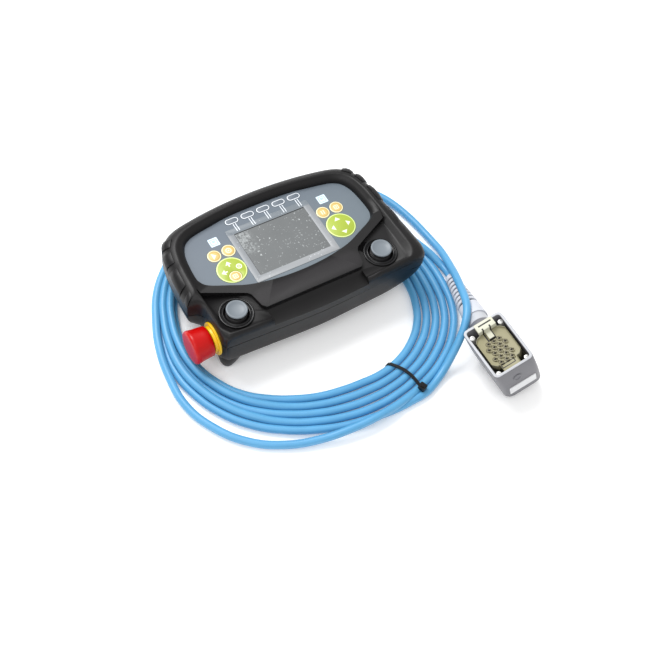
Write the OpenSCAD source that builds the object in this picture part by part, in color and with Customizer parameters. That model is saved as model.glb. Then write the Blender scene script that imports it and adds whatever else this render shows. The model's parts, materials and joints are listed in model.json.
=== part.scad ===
// Handheld teach pendant: operator panel with membrane keys and a display,
// two thumb joysticks, an emergency stop, an enabling switch and a coiled
// cable that ends in a multi-pole plug. Millimetres. +X is the operator's
// right, +Y points away from the operator and +Z out of the panel. The
// origin lies on the rear rest pad, under the centre of the display.

/* [Housing] */
// Width across the grips
housing_w = 240; // [232:1:250]
// Reach of the housing above the display's centre
top_reach = 69; // [67:0.5:73]
// Reach of the housing below the display's centre
bottom_reach = 82; // [81:0.5:86]
// Height of the flat rear face over the rest plane
rear_z = 18; // [17:0.5:20]
// Height of the joint between the two shells
parting_z = 43; // [42:0.5:44]
// Height of the keypad overlay's face
panel_z = 60; // [60:0.5:64]
// Height of the rim over the overlay
rim_rise = 8; // [6:0.5:10]
// Wall of the moulded shells
wall = 3; // [2.5:0.25:3.5]
// Thickness of the seal between the shells
seal_t = 0.8; // [0.5:0.1:1.2]

/* [Panel] */
// Thickness of the keypad overlay
overlay_t = 1; // [0.8:0.1:1.4]
// Width of the silver display frame
frame_w = 93; // [90:0.5:93]
// Height of the silver display frame
frame_h = 69; // [66:0.5:70]
// Width of the visible screen
screen_w = 79.4; // [74:0.2:84]
// Height of the visible screen
screen_h = 55; // [50:0.5:58]
// Diameter of the large round keys
pad_d = 30; // [28:0.5:31]
// Diameter of the small round keys
key_d = 14; // [12:0.5:14.5]
// Travel of every key
key_travel = 0.4; // [0.3:0.05:0.5]
// Pitch of the function keys above the display
soft_pitch = 17.7; // [17:0.1:19]
// Running gap round every key
key_gap = 0.3; // [0.25:0.05:0.4]

/* [Joysticks] */
// Distance of each joystick from the centre line
stick_x = 81; // [79:0.5:83]
// Distance of the joysticks below the display's centre
stick_y = 55; // [54:0.5:57]
// Diameter of the thumb cap
cap_d = 21; // [18:0.5:22]
// Diameter of the outer trim ring
collar_d = 34.5; // [33:0.5:35]
// Height of the tilt axes over the rest plane
pivot_z = 44; // [43.5:0.1:44.5]
// Radial clearance of pivot pins
pin_fit = 0.05; // [0.03:0.01:0.08]

/* [Emergency stop] */
// Diameter of the mushroom head
estop_d = 38; // [34:0.5:40]
// Height of the emergency stop's axis
estop_z = 33; // [32:0.5:34]
// Travel of the head when it is pressed
estop_travel = 4; // [3:0.5:4.5]
// Diameter of the yellow collar
estop_collar_d = 32; // [30:0.5:34]

/* [Plug] */
// Width of the plug's hood
hood_w = 44; // [42:0.5:46]
// Length of the plug's hood
hood_l = 59; // [57:0.5:62]
// Height of the plug's hood
hood_h = 50; // [48:0.5:52]
// Wall of the plug's hood at its rim
hood_wall = 3; // [2.5:0.25:3.5]
// Lean of the plug where it lies
hood_lean = 15; // [12:1:18]

/* [Cable] */
// Diameter of the cable
cable_d = 8.1; // [7.5:0.1:8.2]
// Radius of the innermost turn's centre line
coil_r = 115; // [114:0.5:116]
// Turns that lie side by side
coil_turns = 5; // [4:1:5]

/* [Hidden] */
$fn = 64;

half_w = housing_w / 2;
widest_z = panel_z - 6;           // height of the rim's widest line
crest_z = panel_z + rim_rise;     // top of the rim
deck_z = panel_z - 2;             // floor of the two joystick decks
seat_z = panel_z - overlay_t;     // seat of the overlay
ledge_z = panel_z - 8;            // ledge below the chin
notch_x = half_w - 15;            // wall that carries the emergency stop
notch_y = 27;                     // where the left grip ends
cover_t = 3;
pad_t = 1;                        // rest pad, proud of the cover
hump = [58, 24 - bottom_reach, top_reach - 47];             // half width, low edge and high edge of the rear hump
board_t = 1.6;
board_z = 47.5;                   // underside of the main board
ceiling_z = seat_z - 3;           // top of the cavity in the front shell
soft_step = 3;                    // spline steps between two outline points

// ---- outlines -----------------------------------------------------------

function spline(a, b, c, d, t) = 0.5 * ((2 * b) + (c - a) * t
    + (2 * a - 5 * b + 4 * c - d) * t * t + (3 * b - a - 3 * c + d) * t * t * t);

// A closed smooth curve through the points, with the same steps in each span.
function smooth_loop(p, steps = soft_step) = let (n = len(p))
    [for (i = [0:n - 1], k = [0:steps - 1])
        spline(p[(i + n - 1) % n], p[i], p[(i + 1) % n], p[(i + 2) % n], k / steps)];

function mirrored(p) = [for (i = [len(p) - 1:-1:0]) [-p[i].x, p[i].y]];

// Right half of the widest outline, from the top downwards.
function outer_right(w, t, b) = [
    [40, t - 1.8], [76, t - 6.5], [w - 23, t - 12.4], [w - 11, t - 23], [w - 5.2, t - 38],
    [w - 2, t - 61], [w - 0.5, -25], [w, -50], [w - 1, 14 - b], [w - 7, 5.5 - b],
    [w - 22, 4 - b], [52, 2 - b]];

// The left half is the same down to the grip's end, then steps in to the notch.
function outer_left(w, t, b) = concat([[-52, 2 - b], [22 - w, 4 - b], [17.5 - w, 5.5 - b],
    [-notch_x, 12 - b], [-notch_x, -60], [-notch_x, -42], [-notch_x - 1, -notch_y - 8],
    [-notch_x - 6, -notch_y - 3.5], [2.2 - w, -notch_y - 1.5], [0.5 - w, -notch_y + 3]],
    mirrored([for (i = [0:5]) outer_right(w, t, b)[i]]));

// The outline at the rear face and the one along the rim's crest.
function rear_right(w, t, b) = [
    [38, t - 14.5], [70, t - 18.5], [w - 33, t - 25], [w - 24, t - 35], [w - 19, t - 49],
    [w - 17, t - 69], [w - 16, -25], [w - 16, -50], [w - 18, 18 - b], [w - 24, 9 - b],
    [w - 35, 5 - b], [50, 3 - b]];
function rear_left(w, t, b) = concat([[-50, 3 - b], [28 - w, 5 - b], [20 - w, 7 - b],
    [-notch_x, 14 - b], [-notch_x, -60], [-notch_x, -42], [1 - notch_x, -notch_y - 5],
    [1.5 - notch_x, -notch_y - 2], [15.5 - w, -notch_y + 3], [16 - w, -notch_y + 8]],
    mirrored([for (i = [0:5]) rear_right(w, t, b)[i]]));
function crest_right(w, t, b) = [
    [37, t - 15], [70, t - 19.5], [w - 34, t - 24], [w - 24, t - 32], [w - 19, t - 43],
    [w - 16, t - 63], [w - 14.5, -25], [w - 14, -50], [w - 14, 19 - b], [w - 17, 10 - b],
    [w - 25, 8 - b], [52, 5.5 - b]];
function crest_left(w, t, b) = concat([[-52, 5.5 - b], [28 - w, 8 - b], [22 - w, 11.5 - b],
    [2 - notch_x, 19 - b], [2 - notch_x, -56], [2 - notch_x, -42], [1.5 - notch_x, -notch_y - 6],
    [1 - notch_x, -notch_y], [15 - w, -notch_y + 6], [15.5 - w, -notch_y + 12]],
    mirrored([for (i = [0:5]) crest_right(w, t, b)[i]]));

// Height of the crest at each of those points.
crest_right_z = concat([for (i = [0:5]) crest_z], [crest_z - 2, crest_z - 3.5, crest_z - 4.5,
    crest_z - 6, panel_z + 1, panel_z]);
crest_left_z = concat([panel_z, panel_z + 1, panel_z + 1, panel_z + 1, panel_z + 1.5,
    panel_z + 2, crest_z - 4, crest_z - 2.5, crest_z - 1.5, crest_z - 0.5],
    [for (i = [5:-1:0]) crest_z]);

function closed(top, right, left, bottom) = concat([top], right, [bottom], left);

outer_pts = closed([0, top_reach], outer_right(half_w, top_reach, bottom_reach),
    outer_left(half_w, top_reach, bottom_reach), [0, -bottom_reach]);
rear_pts = closed([0, top_reach - 13], rear_right(half_w, top_reach, bottom_reach),
    rear_left(half_w, top_reach, bottom_reach), [0, 1 - bottom_reach]);
crest_pts = closed([0, top_reach - 13.5], crest_right(half_w, top_reach, bottom_reach),
    crest_left(half_w, top_reach, bottom_reach), [0, 3 - bottom_reach]);
crest_heights = closed(crest_z, crest_right_z, crest_left_z, ledge_z + 1);

outer_loop = smooth_loop(outer_pts);
rear_loop = smooth_loop(rear_pts);
crest_loop = smooth_loop([for (i = [0:len(crest_pts) - 1])
    [crest_pts[i].x, crest_pts[i].y, crest_heights[i]]]);
loop_n = len(outer_loop);

// A loop moved inwards by d, on its own normals.
function inset(p, d) = let (n = len(p)) [for (i = [0:n - 1])
    let (a = p[(i + n - 1) % n], b = p[(i + 1) % n], s = [b.x - a.x, b.y - a.y])
    [p[i].x, p[i].y] + d * [s.y, -s.x] / norm(s)];

function blend_loop(p, q, k) = [for (i = [0:len(p) - 1]) p[i] * (1 - k) + q[i] * k];
function at_z(p, z) = [for (q = p) [q.x, q.y, z]];

// One point of the rounded rim: 0 degrees at its widest, 90 on the crest.
function rim_point(i, a, proud = 0) = let (o = outer_loop[i], c = crest_loop[i],
    flat = [c.x, c.y] + ([o.x, o.y] - [c.x, c.y]) * cos(a),
    out = ([o.x, o.y] - [c.x, c.y]) / norm([o.x, o.y] - [c.x, c.y]) * cos(a) * proud)
    [flat.x + out.x, flat.y + out.y, widest_z + (c.z - widest_z) * sin(a) + sin(a) * proud];

// A solid through a stack of loops with as many points each.
module loft(rings) {
    n = len(rings[0]);
    m = len(rings);
    polyhedron([for (r = rings) each r], concat(
        [[for (i = [n - 1:-1:0]) i]],
        [for (j = [0:m - 2], i = [0:n - 1]) [j * n + i, j * n + (i + 1) % n, (j + 1) * n + i]],
        [for (j = [0:m - 2], i = [0:n - 1])
            [(j + 1) * n + i, j * n + (i + 1) % n, (j + 1) * n + (i + 1) % n]],
        [[for (i = [0:n - 1]) (m - 1) * n + i]]), convexity = 8);
}

module hollow(pts, d, z, h) { translate([0, 0, z]) linear_extrude(h) offset(delta = -d) polygon([for (p = pts) [p.x, p.y]]); }

module plate(pts, z, h) { translate([0, 0, z]) linear_extrude(h) polygon(pts); }

module rod(d, z, h) { translate([0, 0, z]) cylinder(d = d, h = h); }

module box(lo, hi) { translate(lo) cube([hi.x - lo.x, hi.y - lo.y, hi.z - lo.z]); }

// A flat rounded bar with its long side on X.
module slab(w, h, r, z, t) {
    translate([0, 0, z]) linear_extrude(t) union() {
        square([w - 2 * r, h], center = true);
        square([w, h - 2 * r], center = true);
        for (x = [-1, 1], y = [-1, 1]) translate([x * (w / 2 - r), y * (h / 2 - r)]) circle(r);
    }
}

// ---- housing ------------------------------------------------------------

// Right half of the overlay's outline, from the top downwards.
panel_right = [[35, -1], [56, -4], [71, -6.5], [82, -9.5], [90, -15.5], [95, -27],
    [97, -42], [97.5, -53]];
panel_low = [[96.5, -10], [91, -17], [73, -25.5], [58, -32], [42, -36], [22, -39]];
panel_top = top_reach - 18;
panel_half = concat([for (p = panel_right) [p.x + half_w - 120, panel_top + p.y]],
    [for (p = panel_low) [p.x + half_w - 120, p.y]]);
panel_loop = smooth_loop(closed([0, panel_top], panel_half, mirrored(panel_half), [0, -40]), 4);

chin_y = 18 - bottom_reach;
deck_left = 61;                    // where each joystick deck begins at the bezel
bezel_half = concat([for (i = [0:5]) crest_right(half_w, top_reach, bottom_reach)[i] + [0.4, 0.4]],
    [[half_w - 15.5, -14], [half_w - 17.5, -22.5], [deck_left + 12, -36.5], [deck_left + 1, -42],
    [deck_left - 1.5, -45.5], [deck_left - 4.5, chin_y + 4], [deck_left - 8, chin_y]]);
bezel_pts = concat([[0, top_reach - 13]], bezel_half, mirrored(bezel_half));
bezel_drop = concat([0, 0, 0, 0, 0, 0.5, 1], [2, 3, 4, 4.2, 4.2, 4.5, 4.5]);
bezel_heights = concat(bezel_drop, [for (i = [len(bezel_drop) - 1:-1:1]) bezel_drop[i]]);

// The band round the overlay: its top follows the crest and falls to the chin.
module bezel() {
    n = len(bezel_pts);
    low = at_z(bezel_pts, deck_z - 3);
    high = [for (i = [0:n - 1]) [bezel_pts[i].x, bezel_pts[i].y, crest_z - 0.4 - bezel_heights[i]]];
    polyhedron(concat(low, high, [[0, 0, panel_z + 4]]), concat(
        [[for (i = [n - 1:-1:0]) i]],
        [for (i = [0:n - 1]) [i, (i + 1) % n, n + i]],
        [for (i = [0:n - 1]) [n + i, (i + 1) % n, n + (i + 1) % n]],
        [for (i = [0:n - 1]) [n + i, n + (i + 1) % n, 2 * n]]), convexity = 6);
}

// The outside of the front shell as one skin from the parting line to the crest.
module front_skin(from_z) {
    foot = inset(crest_loop, 2.5);
    loft(concat([at_z(outer_loop, from_z), at_z(outer_loop, widest_z - 5)],
        [for (a = [0, 22, 42, 60, 76, 90]) [for (i = [0:loop_n - 1]) rim_point(i, a)]],
        [at_z(foot, deck_z)]));
}

// Slot below the chin, as a long prism with a sloped floor.
module chin_slot() {
    x = deck_left - 8;
    translate([-x, 0, 0]) rotate([90, 0, 90]) linear_extrude(2 * x)
        polygon([[chin_y, crest_z], [chin_y, panel_z + 1], [chin_y - 3, ledge_z + 2],
            [-bottom_reach - 5, ledge_z], [-bottom_reach - 5, crest_z]]);
}

function stick_pos(s) = [s * stick_x, -stick_y, 0];
skirt_r = 17;                       // radius of the dust skirt round the pivot
bore_r = 12.3;                      // opening inside the trim ring
well_r = 15.6;                      // well below the deck

screw_pts = [for (p = [[100, 22], [70, top_reach - 20], [58, 12 - bottom_reach]], s = [-1, 1]) [s * p.x, p.y]];
screw_d = 3.5;
boss_d = 9;
shell_gap = seal_t / 2;

module front_shell() color([0.19, 0.18, 0.19]) difference() {
    $fn = 24;
    union() {
        difference() {
            front_skin(parting_z + shell_gap);
            hollow(outer_loop, wall, parting_z - 1, ceiling_z - parting_z + 1);
        }
        bezel();
        box([-deck_left, 3 - bottom_reach, ledge_z - wall], [deck_left, chin_y + 3, deck_z - 0.5]);
        for (s = [-1, 1]) translate(stick_pos(s)) rod(2 * well_r + 4, parting_z + 4, deck_z - parting_z - 4);
        for (p = screw_pts) translate(p) hull() rod(boss_d, parting_z + shell_gap, ceiling_z - parting_z);
    }
    loft([at_z(panel_loop, seat_z), at_z(panel_loop, panel_z + 0.5),
        at_z(inset(panel_loop, -4), crest_z + 3)]);
    chin_slot();
    slab(frame_w - 4, frame_h - 4, 2, parting_z, panel_z - parting_z);
    slab(frame_w + 0.6, frame_h + 0.6, 1.8, panel_z - 0.05, 3);
    for (s = [-1, 1]) translate(stick_pos(s)) {
        rod(2 * bore_r + 1.8, parting_z, panel_z - parting_z);
        rod(collar_d + 0.6, deck_z, 3);
        rod(2 * well_r, parting_z, deck_z - 1.2 - parting_z);
    }
    for (k = keys) translate([k[1], k[2], 0]) {
        hull() rod(k[3] + 2 * key_gap, seat_z - key_travel - 0.3, 4);
        rod(plunger_d + 1, parting_z, panel_z - parting_z, $fn = 20);
    }
    for (i = [0:4]) translate([soft_x(i), soft_y, 0]) {
        slab(soft_w + 2 * key_gap, soft_h + 2 * key_gap, soft_h / 2 + key_gap - 0.01, seat_z - key_travel - 0.3, 4);
        rod(plunger_d + 1, parting_z, panel_z - parting_z, $fn = 20);
    }
    for (p = screw_pts) translate(p) rod(screw_d - 0.6, parting_z - 1, 10, $fn = 20);
    at_estop() cylinder(d = estop_collar_d + 0.8, h = 4);
}

// The lobe that guards the emergency stop and stands beside the rear hump.
module guard_lobe() {
    x0 = 4 - notch_x;
    y0 = 16 - bottom_reach;
    loft([for (k = [[0.8, 5, -3, 4.5, 4.5], [2.6, 5.3, -2.5, 6.4, 6], [6, 6.2, -1.5, 8.6, 8],
        [11, 7.6, -0.7, 11, 10], [rear_z - 2, 9, 0, 13, 11], [rear_z + 1, 9.5, 0, 13.5, 11]])
        [for (a = [0:15:345]) [x0 + k[1] + k[3] * cos(-a), y0 + k[2] + k[4] * sin(-a), k[0]]]]);
}

module hump_body(d, z0, z1) {
    r = 8 - d;
    translate([0, (hump[1] + hump[2]) / 2, 0])
        slab(2 * (hump[0] - d), hump[2] - hump[1] - 2 * d, r, z0, z1 - z0);
}

function lever_box(d) = [[-92 - d, -14 - d], [-68 + d, 32 + d]];

module rear_shell() color([0.17, 0.16, 0.17]) difference() {
    $fn = 24;
    union() {
        difference() {
            loft([for (k = [[rear_z, 0.04], [rear_z + 1.2, 0.22], [rear_z + 4, 0.45], [rear_z + 9, 0.7],
                [rear_z + 16, 0.9], [parting_z - shell_gap, 1]])
                at_z(blend_loop(rear_loop, outer_loop, k[1]), k[0])]);
            for (k = [[3, 0.35], [9, 0.65], [16, 0.88]]) hollow(blend_loop(rear_loop, outer_loop, k[1]), wall,
                rear_z + k[0], parting_z - rear_z);
        }
        hump_body(0, pad_t + cover_t, rear_z + wall);
        guard_lobe();
        for (p = screw_pts) translate(p) hull() rod(boss_d, rear_z + 0.5, parting_z - shell_gap - rear_z - 0.5);
    }
    hump_body(wall, 0, rear_z + wall + 1);
    hull() box([lever_box(0.4)[0].x, lever_box(0.4)[0].y, 0], [lever_box(0.4)[1].x, lever_box(0.4)[1].y, rear_z + wall + 1]);
    hull() translate([-notch_x - 2, estop_y, estop_z]) rotate([0, 90, 0]) cylinder(d = estop_hole_d + 0.3, h = wall + 4);
    for (p = screw_pts) translate(p) {
        rod(screw_d + 0.4, rear_z - 1, parting_z, $fn = 20);
        rod(screw_head_d + 0.8, rear_z - 1, 5);
    }
    at_estop() cylinder(d = estop_collar_d + 0.8, h = 4);
    translate([gland_x, hump[2] - wall - 1, gland_z]) rotate([-90, 0, 0]) cylinder(d = gland_thread_d + 0.2, h = wall + 2);
}

module shell_seal() color([0.1, 0.1, 0.1]) difference() {
    hollow(outer_loop, 0.6, parting_z - shell_gap, seal_t);
    hollow(outer_loop, wall - 0.2, parting_z - 1, 2);
    for (p = screw_pts) translate(p) rod(screw_d + 0.4, parting_z - 1, 2);
}

// Soft pads over the rounded flank, with open scallops between them.
grip_gap = 3.2;                    // width of each scallop
grip_proud = 2.8;                  // highest part of a pad over the shell
grip_seat = 0.45;                  // bond line under a pad

// One side's pads, between two places on the outline.
module grip(first, last) color([0.16, 0.15, 0.16]) {
    span = (last - first) / 4;
    for (g = [0:3]) grip_pad([for (k = [0:3]) first + g * span + k * (span - 0.9) / 3]);
}

// A point on the rounded rim between two of the outline's points.
function flank(i, a, proud) = let (j = floor(i), k = i - j)
    rim_point(j % loop_n, a, proud) * (1 - k) + rim_point((j + 1) % loop_n, a, proud) * k;

module grip_pad(ids) {
    steps = [60, 42, 22, 0];
    m = len(steps);
    rings = [for (k = [0:3]) let (full = (k == 0 || k == 3) ? 0.45 : 1)
        concat([for (a = steps) flank(ids[k], a, (a == 60 || a == 0) ? 1.1 : 1.1 + (grip_proud - 1.1) * full)],
            [for (q = [m - 1:-1:0]) flank(ids[k], steps[q], grip_seat)])];
    n = 2 * m;
    last = 3 * n;
    polyhedron([for (r = rings) each r], concat(
        [for (k = [0:m - 2]) each [[k + 1, k, n - 1 - k], [k + 1, n - 1 - k, n - 2 - k]]],
        [for (j = [0:2], i = [0:n - 1]) [j * n + i, j * n + (i + 1) % n, (j + 1) * n + i]],
        [for (j = [0:2], i = [0:n - 1])
            [(j + 1) * n + i, j * n + (i + 1) % n, (j + 1) * n + (i + 1) % n]],
        [for (k = [0:m - 2]) each [[last + k, last + k + 1, last + n - 1 - k],
            [last + k + 1, last + n - 2 - k, last + n - 1 - k]]]), convexity = 4);
}

// ---- fasteners and covers -----------------------------------------------

screw_head_d = 6;
cover_screw_pts = [for (x = [-50, 50], y = [hump[2] - 8, hump[1] + 8]) [x, y]];

module housing_screws() color([0.5, 0.5, 0.52]) for (p = screw_pts) translate(p) difference() {
    union() {
        rod(screw_head_d, rear_z + 1.5, 2.5);
        rod(screw_d - 0.6, rear_z + 4, parting_z + 8 - rear_z - 4);
    }
    rod(2.6, rear_z + 1, 1.8, $fn = 6);
}

module rear_cover() color([0.15, 0.15, 0.16]) difference() {
    hump_body(0, pad_t, pad_t + cover_t);
    translate([0, -18, 0]) slab(pad_size.x, pad_size.y, 4, 0, pad_t + 0.6);
    for (p = cover_screw_pts) translate(p) {
        rod(screw_d, 0, 10);
        rod(screw_head_d + 0.6, 0, pad_t + 1.6);
    }
}

pad_size = [76, 50];
module rest_pad() color([0.08, 0.08, 0.08]) difference() {
    translate([0, -18, 0]) slab(pad_size.x - 0.4, pad_size.y - 0.4, 3.8, 0, pad_t + 0.6);
    for (i = [-3:3]) if (i != 0) translate([i * 10, -18, 0]) slab(2, pad_size.y - 8, 0.9, -1, 1.4);
}

module cover_screws() color([0.5, 0.5, 0.52]) for (p = cover_screw_pts) translate(p) difference() {
    union() {
        rod(screw_head_d, pad_t + 0.1, 1.5);
        rod(screw_d - 1, pad_t + 1.6, 11);
    }
    rod(2.6, pad_t, 1, $fn = 6);
}

// ---- panel --------------------------------------------------------------

pad_x = 61.9;                      // centres of the large keys
pad_y = -9.7;
key_y = 12.4;                      // row of small keys above them
stop_d = 12.5;                     // small key inside the left large key
plunger_d = 4;
keys = [["left_pad", -pad_x, pad_y, pad_d], ["right_pad", pad_x, pad_y, pad_d],
    ["left_stop", -pad_x, pad_y - 8.1, stop_d],
    ["left_outer", -69.5, key_y, key_d], ["left_inner", -53.8, key_y, key_d],
    ["right_inner", 53.8, key_y, key_d], ["right_outer", 69.5, key_y, key_d]];
soft_w = 14.5;
soft_h = 7;
soft_y = 43.3;
function soft_x(i) = (i - 2) * soft_pitch + 1.5;
key_proud = 0.5;                   // embossing of the keys over the overlay
dome_h = 1;

module keypad_overlay() color([0.5, 0.54, 0.58]) difference() {
    plate(inset(panel_loop, 0.3), seat_z, overlay_t);
    slab(screen_w + 4, screen_h + 4, 2, seat_z - 1, overlay_t + 2);
    for (k = keys) translate([k[1], k[2], 0]) rod(k[3] + 2 * key_gap, seat_z - 1, overlay_t + 2);
    for (i = [0:4]) translate([soft_x(i), soft_y, 0])
        slab(soft_w + 2 * key_gap, soft_h + 2 * key_gap, soft_h / 2 + key_gap - 0.01, seat_z - 1, overlay_t + 2);
}

module round_key(k) translate([k[1], k[2], 0]) {
    rod(k[3], seat_z, overlay_t + key_proud);
    rod(plunger_d, board_z + board_t + dome_h + key_travel + 0.1,
        seat_z - board_z - board_t - dome_h - key_travel - 0.1);
}

module left_pad_key() color([0.72, 0.8, 0.3]) difference() {
    round_key(keys[0]);
    translate([keys[2][1], keys[2][2], 0]) rod(stop_d + 2 * key_gap, seat_z - 1, 5);
}
module right_pad_key() color([0.72, 0.8, 0.3]) round_key(keys[1]);
module small_key(k) color([0.9, 0.75, 0.4]) round_key(k);

module soft_key(i) color([0.55, 0.59, 0.63]) translate([soft_x(i), soft_y, 0]) {
    slab(soft_w, soft_h, soft_h / 2 - 0.01, seat_z, overlay_t + 0.3);
    rod(plunger_d, board_z + board_t + dome_h + key_travel + 0.1,
        seat_z - board_z - board_t - dome_h - key_travel - 0.1);
}

module display_frame() color([0.72, 0.73, 0.75]) difference() {
    slab(frame_w, frame_h, 1.5, panel_z, 0.4);
    slab(screen_w, screen_h, 1, panel_z - 1, 3);
}

window_t = 1.4;
module display_window() color([0.55, 0.57, 0.58])
    slab(screen_w + 3.4, screen_h + 3.4, 1.7, panel_z - window_t, window_t);

lcd_size = [frame_w - 5, frame_h - 6];
module lcd_module() color([0.35, 0.36, 0.36])
    slab(lcd_size.x, lcd_size.y, 1, board_z + board_t, panel_z - window_t - board_z - board_t);

board_pts = [[-75, -36], [75, -36], [75, 34], [49, 34], [49, 48], [-49, 48], [-49, 34], [-75, 34]];
post_pts = [[-71, 29], [71, 29], [-71, -31], [71, -31]];
module main_board() color([0.1, 0.35, 0.2]) {
    plate(board_pts, board_z, board_t);
    for (k = keys) translate([k[1], k[2], 0]) rod(7, board_z + board_t, dome_h);
    for (i = [0:4]) translate([soft_x(i), soft_y, 0]) rod(7, board_z + board_t, dome_h);
    box([-30, -20, board_z - 9], [0, 6, board_z]);
    box([12, -14, board_z - 3], [30, 4, board_z]);
    box([2, 10, board_z - 12], [18, 28, board_z]);
}

// ---- joysticks ----------------------------------------------------------

cap_z = panel_z + 3.2;
shaft_d = 5;
pin_r = 1.25;
ring_r = 8.5;

module at_stick(s) { translate(stick_pos(s)) children(); }

module cross_pin(a, r, from, to) {
    for (t = [0, 180]) translate([0, 0, pivot_z]) rotate([0, 0, a + t]) rotate([0, 90, 0])
        translate([0, 0, from]) cylinder(r = r, h = to - from);
}

module stick_collar(s) color([0.1, 0.1, 0.11]) at_stick(s) translate([0, 0, deck_z]) rotate_extrude()
    polygon([[bore_r, 0], [collar_d / 2, 0], [collar_d / 2, 0.9], [collar_d / 2 - 0.6, 1.5],
        [collar_d / 2 - 1.8, 1.7], [collar_d / 2 - 2.6, 0.8], [bore_r + 1.8, 0.8], [bore_r + 1.1, 1.6],
        [bore_r + 0.3, 1.5], [bore_r, 1]]);

module stick_base(s) color([0.12, 0.12, 0.13]) at_stick(s) difference() {
    union() {
        rod(26, pivot_z - 6.5, 9);
        rod(2 * well_r + 3, parting_z + 2.4, 1.6);
    }
    rod(2 * ring_r + 1.6, pivot_z - 4.6, 12);
    cross_pin(0, pin_r + pin_fit, ring_r, 12);
}

module stick_gimbal(s) color([0.75, 0.72, 0.6]) at_stick(s) {
    difference() {
        rod(2 * ring_r, pivot_z - 2, 4);
        rod(2 * ring_r - 5, pivot_z - 3, 6);
        cross_pin(90, pin_r + pin_fit, 1, 12);
    }
    cross_pin(0, pin_r, ring_r - 0.4, 11.2);
}

module stick_shaft(s) color([0.6, 0.6, 0.62]) at_stick(s) {
    rod(shaft_d, pivot_z - 2, cap_z + 1.2 - pivot_z + 2);
    cross_pin(90, pin_r, 1, ring_r - 0.1);
}

module stick_skirt(s) color([0.07, 0.07, 0.07]) at_stick(s) difference() {
    union() {
        translate([0, 0, pivot_z]) difference() {
            sphere(r = skirt_r);
            sphere(r = skirt_r - 1);
            box([-20, -20, -20], [20, 20, skirt_r * cos(46)]);
        }
        rod(12, pivot_z + skirt_r - 1.4, cap_z - pivot_z - skirt_r + 1.4);
    }
    rod(shaft_d + 0.1, pivot_z, 30);
}

module stick_cap(s) color([0.6, 0.64, 0.67]) at_stick(s) translate([0, 0, cap_z]) rotate_extrude()
    polygon([[0, 1.2], [shaft_d / 2, 1.2], [shaft_d / 2, 0], [cap_d / 2 - 2.4, 0], [cap_d / 2 - 0.3, 0.8],
        [cap_d / 2, 1.6], [cap_d / 2 - 0.2, 2.5], [cap_d / 2 - 0.9, 3], [cap_d / 2 - 2, 2.9],
        [cap_d / 3, 2.3], [0, 2]]);

// ---- emergency stop -----------------------------------------------------

estop_y = 26 - bottom_reach;
estop_hole_d = 16.2;
stem_r = 6;
rod_r = 3;
nut_t = 3.5;
head_back = 8.5;                   // underside of the head when it is out

module at_estop() { translate([-notch_x, estop_y, estop_z]) rotate([0, -90, 0]) children(); }

module estop_collar() color([0.95, 0.8, 0.1]) at_estop() rotate_extrude()
    polygon([[stem_r + pin_fit, -wall - nut_t - 0.5], [estop_hole_d / 2 - 0.05, -wall - nut_t - 0.5],
        [estop_hole_d / 2 - 0.05, 0], [estop_collar_d / 2, 0], [estop_collar_d / 2, 2.4],
        [estop_collar_d / 2 - 1.6, 4], [stem_r + pin_fit, 4]]);

module estop_nut() color([0.2, 0.2, 0.21]) at_estop() difference() {
    translate([0, 0, -wall - nut_t]) cylinder(d = 19, h = nut_t, $fn = 6);
    translate([0, 0, -wall - nut_t - 1]) cylinder(d = estop_hole_d - 0.1, h = nut_t + 2);
}

module estop_stem() color([0.25, 0.25, 0.26]) at_estop() {
    translate([0, 0, -1]) cylinder(r = stem_r, h = 13);
    translate([0, 0, -wall - nut_t - 4]) cylinder(r = rod_r, h = wall + nut_t + 5);
}

module estop_head() color([0.84, 0.06, 0.05]) at_estop() rotate_extrude() let (r = estop_d / 2)
    polygon([[stem_r + pin_fit, head_back], [r - 8, head_back], [r - 6, head_back + 1.2],
        [r - 1.8, head_back + 9], [r - 0.4, head_back + 11.2], [r, head_back + 13],
        [r - 0.2, head_back + 15.2], [r - 1.4, head_back + 16.6], [r - 4, head_back + 17.4],
        [0, head_back + 18], [0, 12.2], [stem_r + pin_fit, 12.2]]);

module estop_contacts() color([0.3, 0.3, 0.32]) difference() {
    box([1 + wall + nut_t - notch_x, estop_y - 12, rear_z + wall], [27 - notch_x, estop_y + 12, 37]);
    at_estop() translate([0, 0, -30]) cylinder(r = rod_r + 0.3, h = 24);
}

// ---- enabling switch ----------------------------------------------------

lever_rest = 10.5;                 // lowest face of the lever when released
lever_travel = 3;
module enabling_lever() color([0.75, 0.76, 0.78]) {
    c = (lever_box(0)[0] + lever_box(0)[1]) / 2;
    s = lever_box(0)[1] - lever_box(0)[0];
    translate([c.x, c.y, 0]) {
        slab(s.x - 3, s.y - 3, 4, lever_rest, 1);
        slab(s.x, s.y, 5, lever_rest + 1, rear_z + wall + 0.3 - lever_rest - 1);
        slab(s.x + 3, s.y + 6, 3, rear_z + wall + 0.3, 1.7);
    }
}

module enabling_switch() color([0.14, 0.14, 0.16]) {
    box([-90, -4, rear_z + wall + 2 + lever_travel + 0.3], [-70, 22, board_z]);
}

// ---- cable gland --------------------------------------------------------

gland_x = 10;
gland_z = 10.5;
gland_thread_d = 11;
gland_end = hump[2] + 34;          // where the cable leaves the boot
module at_gland(y) { translate([gland_x, y, gland_z]) rotate([-90, 0, 0]) children(); }

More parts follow.
